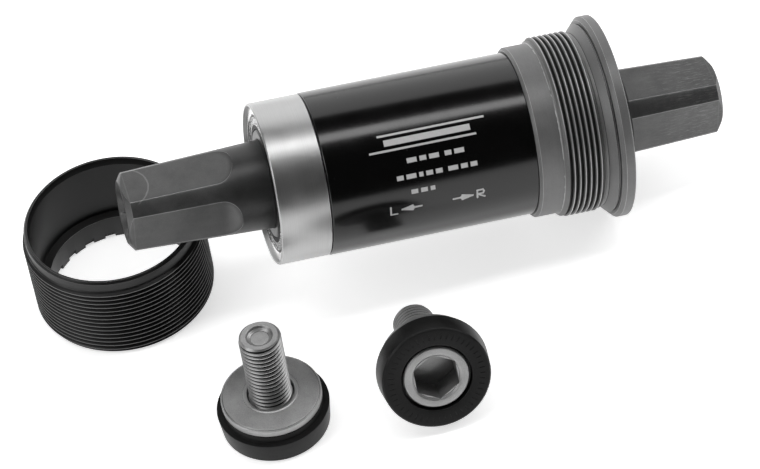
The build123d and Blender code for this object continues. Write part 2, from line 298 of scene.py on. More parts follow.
# %% [markdown]
# ## Plastic and rubber
# The dust rings are moulded in satin black plastic, the seals in matt rubber and the hidden cages in plain
# nylon. They scatter light under a clear surface instead of reflecting it like metal, so they have no metallic
# share, and a fine moulding grain breaks their gloss.


# %% A moulded finish
def moulded(name, base, edge_wear_and_highlight, roughness, grain, relief, tint=(1.0, 1.0, 1.0), **constants):
    finish = Finish(name, **constants)
    board = finish.board
    cloud = board.noise(finish.place, 0.3, 4.0)
    grit = board.noise(finish.place, 9.0, 2.0, 0.6)
    low, high = ([base * share * part for part in tint] + [1.0] for share in (0.7, 1.3))
    surface = board.mixed(cloud.ramp(0.3, 0.7), low, high)
    # Proud edges are lightened towards the edge grey: wear with a painted highlight.
    finish.feed("Base Color", board.mixed((finish.proud * cloud).least(1.0), surface, grey(edge_wear_and_highlight)))
    finish.feed("Roughness", ((cloud - 0.5) * 0.2 + (grit - 0.5) * grain + roughness).most(0.05))
    finish.bumps(grit + cloud * 0.3, relief)
    return finish.material


ring_plastic = moulded(
    "satin_black_ring_plastic", 0.004, 0.03, 0.4, 0.15, 0.008, Specular_IOR_Level=0.2
)
seal_rubber = moulded("matt_seal_rubber", 0.006, 0.02, 0.6, 0.2, 0.02, Specular_IOR_Level=0.3)
cage_nylon = moulded("natural_cage_nylon", 0.62, 0.7, 0.45, 0.1, 0.01, tint=(1.0, 0.95, 0.78))
print("moulded finishes:", 3)

# %% [markdown]
# ## Turning a piece on the lathe
# Most pieces here came off a lathe, so each starts as an outline of (along, radius) points that is spun round
# the axis. A bevel modifier could round the corners afterwards, but it is surer to round the outline itself:
# every corner becomes a short arc, and the arc's points know whether they are proud or in a corner.
# Outlines are drawn clockwise, with the metal on the right hand, so a right turn is a proud corner.

# %% Rounded outlines and spun meshes
AROUND = 160
SMALL_AROUND = 96
EDGE_ROUNDING = 0.14
END_ROW = 0.04
SLIGHT_TURN = math.radians(12)
SAME_SPOT, WELD = 0.0005, 0.003
HARD_EDGE = math.radians(34)


def softened(outline, rounding=EDGE_ROUNDING, closed=True):
    """Rows of (along, radius, edge): the outline with each sharp corner turned into a short arc."""
    rows = []
    for index, point in enumerate(outline):
        corner = Vector(point)
        is_end = not closed and index in (0, len(outline) - 1)
        if corner.y < 1e-6:
            rows.append((corner.x, corner.y, 0.0))
            continue
        if is_end:
            inward = Vector(outline[1 if index == 0 else -2]) - corner
            near = corner + inward.normalized() * min(END_ROW, 0.3 * inward.length)
            both = [(corner.x, corner.y, 0.0), (near.x, near.y, 0.0)]
            rows += both if index == 0 else both[::-1]
            continue
        arrive = corner - Vector(outline[index - 1])
        leave = Vector(outline[(index + 1) % len(outline)]) - corner
        turn = math.atan2(arrive.x * leave.y - arrive.y * leave.x, arrive.dot(leave))
        if abs(turn) < SLIGHT_TURN:
            rows.append((corner.x, corner.y, 0.0))
            continue
        reach = min(rounding * math.tan(abs(turn) / 2), 0.42 * arrive.length, 0.42 * leave.length)
        first, last = corner - arrive.normalized() * reach, corner + leave.normalized() * reach
        # A proud arc gets edge 1, which the finishes lighten as wear with a painted highlight; an arc in a corner
        # gets -1, which they darken as painted shade.
        for step, edge in ((0, 0.0), (1, 1.0), (2, 1.0), (3, 0.0)):
            share = step / 3
            spot = first.lerp(corner, share).lerp(corner.lerp(last, share), share)
            rows.append((spot.x, spot.y, edge if turn < 0 else -edge))
    return rows


def spun(outline, around=AROUND, rounding=EDGE_ROUNDING, closed=True):
    """A mesh in its home, spun from an outline."""
    rows = softened(outline, rounding, closed)
    shape = bmesh.new()
    edge_layer = shape.verts.layers.float.new("edge")
    rings = []
    for along, radius, edge in rows:
        ring = []
        for step in range(around):
            angle = 2 * math.pi * step / around
            vertex = shape.verts.new((along, radius * math.cos(angle), radius * math.sin(angle)))
            vertex[edge_layer] = edge
            ring.append(vertex)
        rings.append(ring)
    pairs = list(zip(rings, rings[1:])) + ([(rings[-1], rings[0])] if closed else [])
    for ring, following in pairs:
        for step in range(around):
            after = (step + 1) % around
            shape.faces.new((ring[step], ring[after], following[after], following[step]))
    return kept_mesh(shape)


def kept_mesh(shape):
    mesh = bpy.data.meshes.new("blank")
    bmesh.ops.remove_doubles(shape, verts=shape.verts, dist=SAME_SPOT)
    shape.to_mesh(mesh)
    shape.free()
    return mesh


# %% [markdown]
# ## Handing a finished mesh over
# When a piece is finished, its loose ends are welded, its faces turned outward and its hard edges marked.
# Then it takes its place in the frame. The place attribute is written first, while it is still in its home.


# %% Finish a piece
def settle(name, meshes, home, material, body, nodes):
    """Weld the meshes of one piece, put it in its place and hand it to its CAD body."""
    shape = bmesh.new()
    shape.verts.layers.float.new("edge")
    for mesh in meshes:
        shape.from_mesh(mesh)
    bmesh.ops.remove_doubles(shape, verts=shape.verts, dist=WELD)
    bmesh.ops.dissolve_degenerate(shape, edges=shape.edges, dist=SAME_SPOT)
    bmesh.ops.recalc_face_normals(shape, faces=shape.faces)
    open_edges = sum(edge.is_boundary for edge in shape.edges)
    mesh = bpy.data.meshes.new(name)
    shape.to_mesh(mesh)
    shape.free()
    places = [value for vertex in mesh.vertices for value in vertex.co]
    mesh.attributes.new("place", "FLOAT_VECTOR", "POINT").data.foreach_set("vector", places)
    mesh.polygons.foreach_set("use_smooth", [True] * len(mesh.polygons))
    mesh.set_sharp_from_angle(angle=HARD_EDGE)
    mesh.transform(home)
    mesh.materials.clear()
    mesh.materials.append(material)
    mesh.polygons.foreach_set("material_index", [0] * len(mesh.polygons))
    piece = bpy.data.objects.new(name, mesh)
    bpy.context.scene.collection.objects.link(piece)
    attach(piece, body)
    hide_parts(*nodes)
    print(f"{name}: {len(mesh.polygons)} faces, {open_edges} open edges")
    return piece


def through(tree, values, mesh=None):
    """Run a Geometry Nodes tree once and keep what it makes as a plain mesh."""
    maker = bpy.data.objects.new("maker", mesh or bpy.data.meshes.new("blank"))
    bpy.context.scene.collection.objects.link(maker)
    modifier = maker.modifiers.new("Maker", "NODES")
    modifier.node_group = tree
    for item in tree.interface.items_tree:
        if item.in_out == "INPUT" and item.name in values:
            modifier[item.identifier] = values[item.name]
    made = bpy.data.meshes.new_from_object(maker.evaluated_get(bpy.context.evaluated_depsgraph_get()))
    bpy.data.objects.remove(maker)
    return made


def new_tree(name, sizes):
    """A Geometry Nodes tree with named inputs: the board and a dictionary of its input wires."""
    tree = bpy.data.node_groups.new(name, "GeometryNodeTree")
    board = Board(tree)
    tree.interface.new_socket("Geometry", in_out="OUTPUT", socket_type="NodeSocketGeometry")
    for size, kind in sizes.items():
        tree.interface.new_socket(size, in_out="INPUT", socket_type="NodeSocket" + kind)
    group = tree.nodes.new("NodeGroupInput")
    return board, {size: Wire(board, group.outputs[size]) for size in sizes}


def end_tree(board, geometry, material):
    """The end of every tree: real geometry, with its material."""
    real = board.node("GeometryNodeRealizeInstances", None, {"Geometry": geometry})
    set_material = board.node("GeometryNodeSetMaterial", None, {"Geometry": real, "Material": material})
    out = board.tree.nodes.new("NodeGroupOutput")
    board.tree.links.new(set_material.socket, out.inputs["Geometry"])
    return board.tree


print("lathe ready, with", AROUND, "steps round the large pieces")

# %% [markdown]
# ## Screw threads
# A thread follows one rule: its section moves one pitch along for each turn. Straight rings pushed in and out
# would make steps, so the rows of the grid climb with the helix themselves, and every crest is a clean line. Eight
# rows to a turn place the edges of crest and root exactly. Rows that climb past either end are held
# there, so the thread closes onto plain circles, where it is welded to the spun part of the piece.

# %% The thread tree
ROWS_PER_TURN = 8
FLAT_SHARE = 1 / 8


def thread_tree():
    names = ("Root radius", "Height", "Side", "Start", "End", "Start rise", "End rise", "Pitch", "Hand")
    kinds = {name: "Float" for name in names} | {"Rows": "Int", "Around": "Int", "Material": "Material"}
    board, size = new_tree("Screw thread", kinds)
    corners = {"Size X": 1.0, "Size Y": 1.0, "Vertices X": size["Around"] + 1, "Vertices Y": size["Rows"]}
    grid = board.node("GeometryNodeMeshGrid", None, corners)
    across, up, _ = board.parts(board.node("GeometryNodeInputPosition"))
    turn = across + 0.5
    turns_up = ((up + 0.5) * (size["Rows"] - 1) + 0.5) / ROWS_PER_TURN
    climb = size["Start"] + size["Pitch"] * (turns_up - 1 + size["Hand"] * turn)
    along = climb.most(size["Start"]).least(size["End"])
    phase = abs(turns_up.maths("FRACT", turns_up) - 0.5) * 2
    flank = ((phase - FLAT_SHARE) / (1 - 2 * FLAT_SHARE)).most(0.0).least(1.0)
    lead_in = along - size["Start"] + size["Start rise"]
    lead_out = size["End"] - along + size["End rise"]
    rise = (flank * size["Height"]).least(lead_in).least(lead_out)
    radius = size["Root radius"] + size["Side"] * rise
    angle = turn * (2 * math.pi)
    spot = board.vector(along, radius * angle.maths("COSINE", angle), radius * angle.maths("SINE", angle))
    share = rise / size["Height"]
    at_end = 0.5 - lead_in.least(lead_out) / size["Height"]
    # Crests get edge 1, lightened as wear with a painted highlight; roots get -1, darkened as painted shade. Near
    # the thread's ends the value is held up.
    edge = (share * share * 2 - 1).most(at_end)
    named = {"Geometry": grid, "Name": "edge", "Value": edge.most(-1.0).least(1.0)}
    marked = board.node("GeometryNodeStoreNamedAttribute", {"data_type": "FLOAT"}, named)
    placed = board.node("GeometryNodeSetPosition", None, {"Geometry": marked, "Position": spot})
    merged = board.node("GeometryNodeMergeByDistance", None, {"Geometry": placed, "Distance": SAME_SPOT})
    return end_tree(board, merged, size["Material"])


SCREW_THREAD = thread_tree()


def thread(root, height, start, end, pitch, material, hand=1.0, side=1.0, rises=(0.0, 0.0), around=AROUND):
    """A thread between two places along its piece. A hand of -1 is a left-hand thread, a side of -1 is a nut's."""
    rows = math.ceil(((end - start) / pitch + 2) * ROWS_PER_TURN) + 1
    values = {
        "Root radius": root, "Height": height, "Side": side, "Start": start, "End": end,
        "Start rise": rises[0], "End rise": rises[1], "Pitch": pitch, "Hand": hand,
        "Rows": rows, "Around": around, "Material": material,
    }
    return through(SCREW_THREAD, values)


SHELL_PITCH = 25.4 / 24
BOLT_PITCH = 1.0
print("shell thread pitch", round(SHELL_PITCH, 3), "mm, bolt thread pitch", BOLT_PITCH, "mm")

# %% [markdown]
# ## Notches, ticks and balls that go round a circle
# Tool splines, ticks and bearing balls all repeat at even angles. Here one tree places any number of
# cutters round the axis and takes them from the mesh that comes in, and another places balls.


# %% The ring trees
def ring_points(board, size):
    """Points round the axis, and the angle of each."""
    line = board.node("GeometryNodeMeshLine", None, {"Count": size["Count"]})
    angle = board.node("GeometryNodeInputIndex") * (2 * math.pi) / size["Count"] + size["First angle"]
    y, z = size["Radius"] * angle.maths("COSINE", angle), size["Radius"] * angle.maths("SINE", angle)
    spot = board.vector(size["Along"], y, z)
    return board.node("GeometryNodeSetPosition", None, {"Geometry": line, "Position": spot}), angle


def notch_tree():
    names = ("Along", "Radius", "First angle", "Deep", "High", "Wide")
    kinds = {"Geometry": "Geometry", "Count": "Int", "Material": "Material"} | {name: "Float" for name in names}
    board, size = new_tree("Notches round a circle", kinds)
    points, angle = ring_points(board, size)
    sides = board.vector(size["Deep"], size["High"], size["Wide"])
    cube = board.node("GeometryNodeMeshCube", None, {"Size": sides})
    names = {"Points": points, "Instance": cube, "Rotation": board.vector(angle, 0.0, 0.0)}
    cutters = board.node("GeometryNodeInstanceOnPoints", None, names)
    real = board.node("GeometryNodeRealizeInstances", None, {"Geometry": cutters})
    settings = {"operation": "DIFFERENCE", "solver": "EXACT"}
    cut = board.node("GeometryNodeMeshBoolean", settings, {"Mesh 1": size["Geometry"], "Mesh 2": real})
    return end_tree(board, cut, size["Material"])


def ball_tree():
    names = ("Along", "Radius", "First angle", "Ball radius")
    kinds = {"Count": "Int", "Material": "Material"} | {name: "Float" for name in names}
    board, size = new_tree("Balls round a circle", kinds)
    points, _ = ring_points(board, size)
    ball = board.node("GeometryNodeMeshIcoSphere", None, {"Radius": size["Ball radius"], "Subdivisions": 4})
    balls = board.node("GeometryNodeInstanceOnPoints", None, {"Points": points, "Instance": ball})
    return end_tree(board, balls, size["Material"])


NOTCHES, BALLS = notch_tree(), ball_tree()


def carved(mesh, cutter):
    """The mesh with a cutter's shape taken out of it."""
    blank, tool = (bpy.data.objects.new("blank", part) for part in (mesh, cutter))
    for thing in (blank, tool):
        bpy.context.scene.collection.objects.link(thing)
    modifier = blank.modifiers.new("Carve", "BOOLEAN")
    modifier.operation, modifier.solver, modifier.object = "DIFFERENCE", "EXACT", tool
    made = bpy.data.meshes.new_from_object(blank.evaluated_get(bpy.context.evaluated_depsgraph_get()))
    for thing in (blank, tool):
        bpy.data.objects.remove(thing)
    return made


def joined(meshes):
    """Several meshes of one shell, welded into one."""
    shape = bmesh.new()
    shape.verts.layers.float.new("edge")
    for mesh in meshes:
        shape.from_mesh(mesh)
    bmesh.ops.remove_doubles(shape, verts=shape.verts, dist=WELD)
    bmesh.ops.recalc_face_normals(shape, faces=shape.faces)
    mesh = bpy.data.meshes.new("blank")
    shape.to_mesh(mesh)
    shape.free()
    return mesh


print("ring trees ready")

# %% [markdown]
# ## The spindle
# The spindle is forged and turned, and then four tapered flats are milled at each end for the cranks. Its
# section is the smaller of two shapes: a circle and a square. Flats, rounded corners, run-outs and the
# chamfered tips all come from that one rule, so the mesh is made ring by ring from it. The columns of each ring
# slide so that some of them always lie on the line where a flat meets a corner, which keeps that line crisp.

# %% Spindle sizes
LEFT_TIP, RIGHT_TIP = -92.0, 24.0
BODY_RADIUS, MIDDLE_RADIUS = 8.5, 9.6
SQUARE_HALF, SQUARE_TAPER = 6.2, math.tan(math.radians(2.0))
LEFT_SQUARE, RIGHT_SQUARE = 17.6, 19.4
RUN_OUT_RADIUS = 6.0
CORNER_RADIUS, CORNER_TAPER = 7.45, math.tan(math.radians(2.2))
END_CHAMFER, END_FACE_RADIUS = 1.0, 6.05
HOLE_RADIUS, HOLE_DEPTH, COUNTERSINK_RADIUS = 4.05, 22.0, 5.2
HOLE_THREAD, HOLE_AROUND = 0.55, 48
MIDDLE_START, MIDDLE_END = -57.53, -8.2
EDGE_BLUR, CORNER_BLEND = 0.13, 0.035
FLAT_STEPS = (-1.0, -0.975, -0.93, -0.82, -0.5, 0.0, 0.5, 0.82, 0.93, 0.975)
CORNER_STEPS = tuple(
    [0.0, 0.03, 0.07] + [0.07 + 0.86 * step / 18 for step in range(1, 18)] + [0.93, 0.97]
)


# %% The spindle's section
def round_radius(along):
    """The turned blank's radius."""
    tip_distance = min(along - LEFT_TIP, RIGHT_TIP - along)
    if tip_distance < END_CHAMFER:
        return END_FACE_RADIUS + (CORNER_RADIUS - END_FACE_RADIUS) * tip_distance / END_CHAMFER
    if MIDDLE_START <= along <= MIDDLE_END:
        return MIDDLE_RADIUS
    return min(CORNER_RADIUS + (tip_distance - END_CHAMFER) * CORNER_TAPER, BODY_RADIUS)


def flat_height(along):
    """How far a flat is from the axis, or nothing where the run-out has left the metal."""
    on_left = along < (LEFT_TIP + RIGHT_TIP) / 2
    tip_distance = along - LEFT_TIP if on_left else RIGHT_TIP - along
    length = LEFT_SQUARE if on_left else RIGHT_SQUARE
    height = SQUARE_HALF + min(tip_distance, length) * SQUARE_TAPER
    past = tip_distance - length
    if past <= 0:
        return height
    if past >= RUN_OUT_RADIUS * 0.8:
        return None
    lift = RUN_OUT_RADIUS - math.sqrt(RUN_OUT_RADIUS**2 - past**2)
    return height + lift + past * SQUARE_TAPER


def section(along):
    """One ring of the spindle as (angle, radius, edge) for each column."""
    blank = round_radius(along)
    height = flat_height(along)
    half_flat = math.acos(height / blank) if height is not None and height < blank else 0.0
    columns = []
    for quarter in range(4):
        middle = quarter * math.pi / 2
        angles = [middle + step * half_flat for step in FLAT_STEPS]
        corner_width = math.pi / 2 - 2 * half_flat
        angles += [middle + half_flat + step * corner_width for step in CORNER_STEPS]
        for angle in angles:
            offset = abs(math.remainder(angle - middle, math.pi / 2))
            flat = height / math.cos(offset) if half_flat else 2 * blank
            radius = min(flat, blank)
            gap = abs(flat - blank)
            if half_flat and gap < 6 * CORNER_BLEND:
                radius -= CORNER_BLEND * math.log(1 + math.exp(-gap / CORNER_BLEND))
            from_edge = abs(offset - half_flat) * blank
            edge = math.exp(-((from_edge / EDGE_BLUR) ** 2)) if half_flat else 0.0
            columns.append((angle, radius, edge))
    return columns


def spindle_stations():
    """Where the rings lie along the spindle: close together at the tips and the run-outs."""
    stations = set()
    for tip, inward, length in ((LEFT_TIP, 1, LEFT_SQUARE), (RIGHT_TIP, -1, RIGHT_SQUARE)):
        distances = [0.0, 0.02, 0.06, 0.3, 0.7, 0.9, 1.0, 1.1, 1.4]
        distances += [1.4 + (length - 1.6) * step / 12 for step in range(1, 13)]
        distances += [length - 0.05, length, length + 0.1]
        distances += [length + 0.1 + 0.11 * step for step in range(1, 42)]
        stations |= {round(tip + inward * distance, 4) for distance in distances}
    stations |= {MIDDLE_START - 0.001, MIDDLE_START, MIDDLE_END, MIDDLE_END + 0.001}
    stations |= {-70.0 + 2.7 * step for step in range(5)} | {-55.0 + 5.0 * step for step in range(10)}
    return sorted(stations)


# %% [markdown]
# The run-outs of the flats end in a curved line, which is where the polish of handling shows first. That is
# what the edge attribute is for: it is one beside any line where two surfaces meet, and fades within a
# quarter of a millimetre. The finish lightens it there as wear with a painted highlight. The bolt holes are
# spun, with real threads inside.


# %% Make the spindle
def spindle_skin():
    shape = bmesh.new()
    edge_layer = shape.verts.layers.float.new("edge")
    rings = []
    for along in spindle_stations():
        ring = []
        tip_distance = min(along - LEFT_TIP, RIGHT_TIP - along)
        for angle, radius, edge in section(along):
            vertex = shape.verts.new((along, radius * math.cos(angle), radius * math.sin(angle)))
            at_chamfer = abs(tip_distance - END_CHAMFER) < 0.12 or tip_distance < 0.08
            vertex[edge_layer] = max(edge, 0.7 if at_chamfer else 0.0)
            ring.append(vertex)
        rings.append(ring)
    for ring, following in zip(rings, rings[1:]):
        for step in range(len(ring)):
            after = (step + 1) % len(ring)
            shape.faces.new((ring[step], ring[after], following[after], following[step]))
    return shape, rings[0], rings[-1]


def spindle_end(shape, ring, tip, inward):
    """The flat face between the tip's ring and the countersink of the bolt hole."""
    count = len(ring)
    hole = []
    for vertex in ring:
        angle = math.atan2(vertex.co.z, vertex.co.y)
        spot = (tip, COUNTERSINK_RADIUS * math.cos(angle), COUNTERSINK_RADIUS * math.sin(angle))
        hole.append(shape.verts.new(spot))
    sunk = []
    for vertex in hole:
        angle = math.atan2(vertex.co.z, vertex.co.y)
        depth = COUNTERSINK_RADIUS - HOLE_RADIUS
        spot = (tip + inward * depth, HOLE_RADIUS * math.cos(angle), HOLE_RADIUS * math.sin(angle))
        sunk.append(shape.verts.new(spot))
    for outer, inner in ((ring, hole), (hole, sunk)):
        for step in range(count):
            after = (step + 1) % count
            corners = (outer[step], outer[after], inner[after], inner[step])
            if len({tuple(round(value, 5) for value in corner.co) for corner in corners}) > 2:
                shape.faces.new(corners)


def threaded_hole(tip, inward):
    """The thread and the drilled end of a bolt hole."""
    mouth = tip + inward * (COUNTERSINK_RADIUS - HOLE_RADIUS)
    floor = tip + inward * HOLE_DEPTH
    point = tip + inward * (HOLE_DEPTH + HOLE_RADIUS / 2)
    low, high = sorted((mouth, floor))
    wall = thread(HOLE_RADIUS, HOLE_THREAD, low, high, BOLT_PITCH, spindle_steel, side=-1.0, around=HOLE_AROUND)
    drilled = spun([(floor, HOLE_RADIUS), (point, 0.0)], around=HOLE_AROUND, closed=False)
    return [wall, drilled]


spindle_shape, left_ring, right_ring = spindle_skin()
spindle_end(spindle_shape, left_ring, LEFT_TIP, 1)
spindle_end(spindle_shape, right_ring, RIGHT_TIP, -1)
spindle_parts = [kept_mesh(spindle_shape)] + threaded_hole(LEFT_TIP, 1) + threaded_hole(RIGHT_TIP, -1)
settle("spindle_forged", spindle_parts, CARTRIDGE_HOME, spindle_steel, "spindle", ["spindle"])

# %% [markdown]
# ## The cartridge's tube and the printed sleeve
# The steel tube shows only at its bare left end, turned bright with fine lines round it. The rest is under a
# gloss black sleeve. The sleeve's print follows its surface, so it is drawn with strokes in millimetres along
# the axis and round it: plain bars, and an arrow with its side letter for each side of the frame.

# %% Tube
TUBE_LEFT, TUBE_RIGHT, SLEEVE_LEFT = -65.13, -8.2, -55.23
HOUSING_RADIUS, TUBE_RADIUS, TUBE_SLEEVE_RADIUS, TUBE_BORE = 15.0, 15.5, 15.15, 14.0
BEARING_WIDTH, LEFT_FACE, RIGHT_FACE = 7.0, -64.53, -1.2
tube = spun([
    (TUBE_LEFT, HOUSING_RADIUS), (TUBE_LEFT, TUBE_RADIUS - 0.25), (TUBE_LEFT + 0.25, TUBE_RADIUS),
    (SLEEVE_LEFT - 0.25, TUBE_RADIUS), (SLEEVE_LEFT, TUBE_SLEEVE_RADIUS), (TUBE_RIGHT, TUBE_SLEEVE_RADIUS),
    (TUBE_RIGHT, TUBE_BORE), (LEFT_FACE + BEARING_WIDTH, TUBE_BORE), (LEFT_FACE + BEARING_WIDTH, HOUSING_RADIUS),
])
settle("tube_turned", [tube], CARTRIDGE_HOME, turned_steel, "cartridge", ["cartridge_tube"])

# %% The sleeve's print
PRINT_TURN = 52.0
SLEEVE_RADIUS, COLLAR_END = 15.62, -15.3
ARROW_HEAD, ARROW_HALF_WIDTH = 2.04, 0.54
INK_BLUR = 0.05
BAR_GAP, BAR_HALF_WIDTH, LETTER_HALF_WIDTH = 0.55, 0.45, 0.17


def stroke(along, around, start, end, half_width):
    """One where a point is within a half width of the line between two points, and nothing elsewhere."""
    run, climb = end[0] - start[0], end[1] - start[1]
    length = run * run + climb * climb
    share = ((along - start[0]) * run + (around - start[1]) * climb) / length
    share = share.most(0.0).least(1.0)
    off_x, off_y = along - start[0] - share * run, around - start[1] - share * climb
    squared = off_x * off_x + off_y * off_y
    return squared.maths("SQRT", squared).ramp(half_width - INK_BLUR, half_width + INK_BLUR, 1.0, 0.0)


def arrow(tip, tail):
    """The strokes of an arrow that lies along the axis."""
    back = tip[0] + math.copysign(ARROW_HEAD, tail[0] - tip[0])
    middle = tip[0] + (back - tip[0]) * 0.55
    sides = [((tip, (back, tip[1] + side * ARROW_HALF_WIDTH)), 0.16) for side in (-1, 1)]
    sides += [(((middle, tip[1]), (back, tip[1])), 0.42)]
    return sides + [((tip, tail), 0.2)]


def print_bars():
    """The plain bars of the print as (middle along, middle round, half length, half width), in mm."""
    bars = [(-34.2, 6.3, 10.3, 0.2), (-36.3, 3.4, 10.3, 0.2), (-35.2, 4.85, 8.3, 0.6)]
    for row, start, widths in (
        (0.9, -39.9, (1.9, 1.3, 1.9, 0.0, 1.3, 1.9)),
        (-2.1, -42.3, (1.3, 1.9, 0.8, 1.3, 1.3, 0.0, 1.9, 1.3, 1.3)),
        (-5.2, -39.9, (1.3, 1.3, 0.9)),
    ):
        for width in widths:
            if width:
                bars.append((start + width / 2, row, width / 2, BAR_HALF_WIDTH))
            start += width + BAR_GAP
    return bars


def print_strokes():
    """The print's arrows and side letters as ((start, end), half width)."""
    strokes = arrow((-41.9, -8.6), (-38.2, -8.6)) + arrow((-28.3, -8.6), (-32.0, -8.6))
    left_x, right_x, foot, top = -44.1, -27.4, -9.4, -7.7
    left_letter = [(left_x, top), (left_x, foot), (left_x + 1.2, foot)]
    right_letter = [
        (right_x, foot), (right_x, top), (right_x + 1.1, top), (right_x + 1.3, (top + foot) / 2 + 0.4),
        (right_x + 1.1, (top + foot) / 2), (right_x, (top + foot) / 2), (right_x + 1.4, foot),
    ]
    for letter in (left_letter, right_letter):
        strokes += [((start, end), LETTER_HALF_WIDTH) for start, end in zip(letter, letter[1:])]
    return strokes


# %% Gloss black with the print
def printed_sleeve():
    finish = Finish("gloss_black_printed_sleeve", Coat_Roughness=0.06)
    board = finish.board
    turn = finish.across_y.maths("ARCTAN2", finish.across_z, finish.across_y)
    around = (math.radians(PRINT_TURN) - turn) * SLEEVE_RADIUS
    marks = finish.along * 0.0
    for (start, end), half_width in print_strokes():
        marks = marks.most(stroke(finish.along, around, start, end, half_width))
    for middle, row, half_length, half_width in print_bars():
        inside = (abs(finish.along - middle) - half_length).most(abs(around - row) - half_width)
        marks = marks.most(inside.ramp(-INK_BLUR, INK_BLUR, 1.0, 0.0))
    cloud = board.noise(finish.place, 0.25, 4.0)
    dust = board.noise(finish.place, 1.6, 2.0, 0.4).ramp(0.76, 0.8)
    ink = marks * (board.noise(finish.place, 5.0) * 0.25 + 0.8)
    black = board.mixed(cloud, grey(0.0006), grey(0.002))
    # Proud edges are a little lighter, as wear with a painted highlight; the dust specks add to it.
    black = board.mixed((finish.proud * 0.3 + dust * 0.1).least(1.0), black, grey(0.1))
    finish.feed("Base Color", board.mixed(ink, black, grey(0.62)))
    finish.feed("Roughness", (cloud - 0.5) * 0.08 + marks * 0.22 + dust * 0.2 + 0.17)
    finish.bumps(cloud * 0.5 + marks * 0.4, 0.012)
    return finish.material


sleeve_finish = printed_sleeve()
sleeve = spun([
    (SLEEVE_LEFT, TUBE_SLEEVE_RADIUS), (SLEEVE_LEFT, SLEEVE_RADIUS - 0.2), (SLEEVE_LEFT + 0.2, SLEEVE_RADIUS),
    (COLLAR_END, SLEEVE_RADIUS), (COLLAR_END, TUBE_SLEEVE_RADIUS),
])
settle("sleeve_printed", [sleeve], CARTRIDGE_HOME, sleeve_finish, "cartridge", ["outer_sleeve"])
print("bars and strokes in the print:", len(print_bars()) + len(print_strokes()))

# %% [markdown]
# ## The fixed cup
# The drive side cup is turned in one piece: a collar over the tube, a left-hand thread, a neck that flares to
# the seat, and the flange. The thread is made by its tree and welded to the spun part. Twenty notches
# for a splined tool are then cut into the lip behind the flange.

# %% Fixed cup
SHELL_THREAD_RADIUS, THREAD_DEPTH = 17.4, 0.65
NECK_RADIUS, COLLAR_RADIUS = SHELL_THREAD_RADIUS - THREAD_DEPTH, 16.45
THREAD_START, THREAD_END = -10.65, -2.425
FLANGE_RADIUS, FLANGE_THICKNESS, SEAT_RADIUS = 19.5, 2.5, 18.3
LIP_RADIUS, SPLINE_RADIUS, LIP_START = 13.9, 14.8, -0.6
cup_body = spun([
    (THREAD_END, NECK_RADIUS), (-1.9, NECK_RADIUS), (-0.5, SEAT_RADIUS), (-0.5, SEAT_RADIUS - 0.3),
    (0.0, SEAT_RADIUS - 0.3), (0.0, FLANGE_RADIUS - 0.7), (0.7, FLANGE_RADIUS),
    (FLANGE_THICKNESS - 0.15, FLANGE_RADIUS), (FLANGE_THICKNESS, FLANGE_RADIUS - 0.15),
    (FLANGE_THICKNESS, LIP_RADIUS), (RIGHT_FACE, LIP_RADIUS), (RIGHT_FACE, HOUSING_RADIUS),
    (TUBE_RIGHT, HOUSING_RADIUS), (TUBE_RIGHT, TUBE_SLEEVE_RADIUS), (COLLAR_END, TUBE_SLEEVE_RADIUS),
    (COLLAR_END, COLLAR_RADIUS - 0.5), (COLLAR_END + 0.5, COLLAR_RADIUS), (THREAD_START, COLLAR_RADIUS),
], closed=False)
cup_thread = thread(
    NECK_RADIUS, THREAD_DEPTH, THREAD_START, THREAD_END, SHELL_PITCH, phosphate_steel, hand=-1.0,
    rises=(COLLAR_RADIUS - NECK_RADIUS, 0.0),
)
notch_room = 1.0
spline_cuts = {
    "Count": 20, "Along": (LIP_START + FLANGE_THICKNESS + notch_room) / 2, "First angle": 0.0,
    "Radius": SPLINE_RADIUS - 0.95, "Deep": FLANGE_THICKNESS + notch_room - LIP_START, "High": 1.9, "Wide": 2.0,
    "Material": phosphate_steel,
}
fixed_cup = through(NOTCHES, spline_cuts, joined([cup_body, cup_thread]))
settle("fixed_cup_threaded", [fixed_cup], CARTRIDGE_HOME, phosphate_steel, "cartridge", ["drive_side_cup"])

# %% [markdown]
# The dust seal fills the cup's lip and stands a little proud of the flange, close round the spindle.

# %% Dust seal
seal = spun([
    (RIGHT_FACE, 8.55), (RIGHT_FACE, LIP_RADIUS), (LIP_START, LIP_RADIUS), (LIP_START, 11.6), (4.3, 11.6),
    (4.8, 11.1), (4.8, 9.6), (4.5, 9.3), (4.7, 8.8), (0.8, 8.8), (0.8, 8.55),
])
settle("dust_seal_rubber", [seal], CARTRIDGE_HOME, seal_rubber, "cartridge", ["drive_side_dust_seal"])

# %% [markdown]
# ## The bearings
# Two deep groove bearings carry the spindle. Only the outer seal of the left one can be seen, in the tube's
# end: a stamped shield with a dark rubber lip, which gets a finish of its own. The rings, balls and cages inside
# are made as well, so that every CAD node has its piece.


# %% The shield's finish
def shield_finish():
    finish = Finish("stamped_shield_with_rubber_lip", Metallic=0.8)
    board = finish.board
    speckle = board.noise(finish.place, 2.2, 5.0, 0.75)
    lip = finish.radius.ramp(11.25, 11.35, 1.0, 0.0)
    rim = finish.radius.ramp(12.75, 12.85)
    bright = board.mixed(speckle.ramp(0.42, 0.58), grey(0.10), grey(0.85))
    # The lip is dark rubber; the corner share darkens inner corners as painted shade.
    dark = (lip + rim * 0.75 + finish.corner).least(1.0)
    finish.feed("Base Color", board.mixed(dark, bright, grey(0.02)))
    finish.feed("Roughness", speckle * 0.3 + dark * 0.2 + 0.22)
    finish.bumps(speckle, 0.06)
    return finish.material


